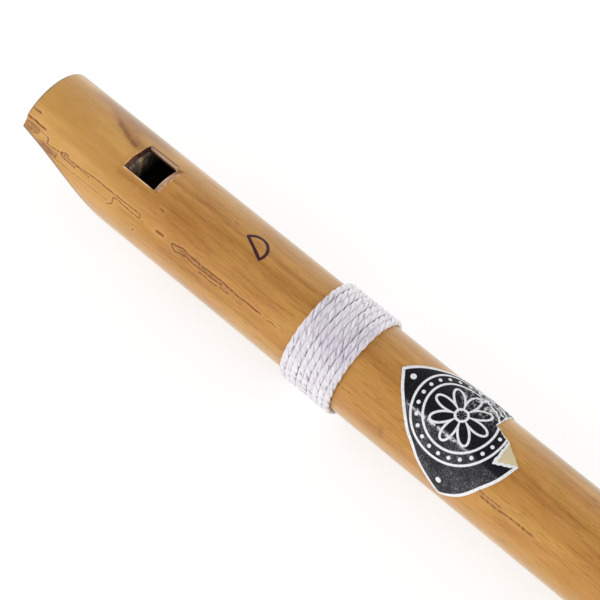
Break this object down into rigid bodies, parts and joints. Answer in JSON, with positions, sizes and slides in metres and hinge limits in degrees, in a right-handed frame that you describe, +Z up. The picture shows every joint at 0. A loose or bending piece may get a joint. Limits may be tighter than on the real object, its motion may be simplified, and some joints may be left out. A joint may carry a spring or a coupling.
{
  "type": "bamboo flute",
  "caption": "Beaked bamboo flute with a square window, finger holes, white cord bindings and a torn, diamond-shaped paper label.",
  "frame": {"origin": "below the middle of the flute's length, on the surface that the bindings rest on", "axes": "+X along the bore from the mouth end to the foot, +Z up through the window and the finger holes"},
  "size_m": [0.4, 0.0234, 0.0234],
  "materials": {
    "bamboo": "golden bamboo with fine grain, satin",
    "block_wood": "plain sawn wood, matt",
    "white_cord": "twisted white cord, soft",
    "black_paper": "printed paper, slightly worn"
  },
  "bodies": {
    "root": {"bamboo_tube": "bamboo", "fipple_block": "block_wood", "head_binding": "white_cord", "middle_binding": "white_cord", "foot_binding": "white_cord", "paper_label": "black_paper"}
  },
  "joints": []
}
